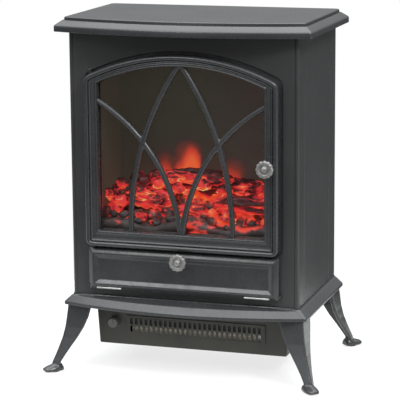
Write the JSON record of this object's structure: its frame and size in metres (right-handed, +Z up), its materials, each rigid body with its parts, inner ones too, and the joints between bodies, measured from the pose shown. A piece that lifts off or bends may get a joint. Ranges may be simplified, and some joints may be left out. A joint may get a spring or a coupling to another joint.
{
  "type": "electric stove heater",
  "caption": "Free-standing stove-style electric fireplace: bowed top, arched glazed door with lattice, drop-down flap, glowing logs and an under-floor fan heater on splayed legs.",
  "frame": {"origin": "on the floor under the middle of the overall box, between the four feet", "axes": "+Z up, the door faces -Y, +X is the stove's right side seen from the front"},
  "size_m": [0.44, 0.304, 0.546],
  "materials": {
    "black_enamel": "charcoal satin enamel on sheet steel",
    "black_casting": "satin charcoal moulding with a faint cast texture",
    "pewter": "antique pewter",
    "heater_black": "heat-resistant black paint",
    "plated_steel": "zinc-plated steel",
    "element": "bare honeycomb metal",
    "black_plastic": "moulded black plastic",
    "grey_plastic": "moulded light grey plastic",
    "smoked_glass": "lightly smoked tempered glass",
    "bulb_glass": "clear warm bulb glass",
    "ember_resin": "translucent orange-red ember moulding",
    "log_resin": "moulded glowing log",
    "flame_panel": "dark translucent flame screen",
    "rubber": "black rubber"
  },
  "bodies": {
    "stove": {"back_cover": "black_enamel", "base_frame": "black_casting", "blower_housing": "plated_steel", "blower_motor": "plated_steel", "catch_magnet": "plated_steel", "cord_gland": "black_plastic", "door_hinge_bottom": "black_enamel", "door_hinge_top": "black_enamel", "ember_bed": "ember_resin", "firebox_liner": "heater_black", "flame_screen": "flame_panel", "flap_hinge_left": "black_enamel", "flap_hinge_right": "black_enamel", "floor_pan": "plated_steel", "foot_pad_back_left": "rubber", "foot_pad_back_right": "rubber", "foot_pad_front_left": "rubber", "foot_pad_front_right": "rubber", "front_frame": "black_enamel", "heater_box": "heater_black", "heating_element": "element", "lamp_holder_left": "black_plastic", "lamp_holder_right": "black_plastic", "lamp_left": "bulb_glass", "lamp_right": "bulb_glass", "lamp_tray": "plated_steel", "leg_back_left": "black_casting", "leg_back_right": "black_casting", "leg_front_left": "black_casting", "leg_front_right": "black_casting", "log_back": "log_resin", "log_left": "log_resin", "log_middle": "log_resin", "log_right": "log_resin", "log_upper": "log_resin", "outlet_grille": "heater_black", "rotor_frame": "plated_steel", "rotor_motor": "plated_steel", "side_panel_left": "black_enamel", "side_panel_right": "black_enamel", "switch_housing": "black_plastic", "switch_panel": "heater_black", "terminal_block": "grey_plastic", "thermal_cutout": "plated_steel", "thermostat_body": "black_plastic", "top_plate": "black_casting"},
    "door": {"door_frame": "black_casting", "door_lattice": "black_casting", "door_glass": "smoked_glass", "glass_retainer": "plated_steel", "door_knob": "pewter"},
    "flap": {"ash_flap": "black_casting", "flap_knob": "pewter"},
    "thermostat_dial": {"thermostat_knob": "grey_plastic"},
    "flame_switch": {"rocker_flame": "black_plastic"},
    "low_heat_switch": {"rocker_low_heat": "black_plastic"},
    "high_heat_switch": {"rocker_high_heat": "black_plastic"},
    "blower_drum": {"blower_rotor": "plated_steel"},
    "flame_spindle": {"flame_rotor": "plated_steel"}
  },
  "joints": [
    {"name": "door_hinge", "type": "hinge", "parent": "stove", "child": "door", "pos_m": [-0.142, -0.1173, 0.33], "axis": [0, 0, -1], "range_deg": [0, 100]},
    {"name": "flap_hinge", "type": "hinge", "parent": "stove", "child": "flap", "pos_m": [0, -0.1138, 0.1365], "axis": [1, 0, 0], "range_deg": [0, 70]},
    {"name": "thermostat_turn", "type": "hinge", "parent": "stove", "child": "thermostat_dial", "pos_m": [-0.125, -0.073, 0.07], "axis": [0, -1, 0], "range_deg": [-135, 135]},
    {"name": "flame_switch_rock", "type": "hinge", "parent": "stove", "child": "flame_switch", "pos_m": [-0.034, -0.079, 0.164], "axis": [-1, 0, 0], "range_deg": [0, 16]},
    {"name": "low_heat_rock", "type": "hinge", "parent": "stove", "child": "low_heat_switch", "pos_m": [0, -0.079, 0.164], "axis": [-1, 0, 0], "range_deg": [0, 16]},
    {"name": "high_heat_rock", "type": "hinge", "parent": "stove", "child": "high_heat_switch", "pos_m": [0.034, -0.079, 0.164], "axis": [-1, 0, 0], "range_deg": [0, 16]},
    {"name": "blower_spin", "type": "hinge", "parent": "stove", "child": "blower_drum", "pos_m": [0, 0.001, 0.07], "axis": [1, 0, 0], "continuous": true},
    {"name": "flame_spin", "type": "hinge", "parent": "stove", "child": "flame_spindle", "pos_m": [0, 0.057, 0.236], "axis": [1, 0, 0], "continuous": true}
  ]
}
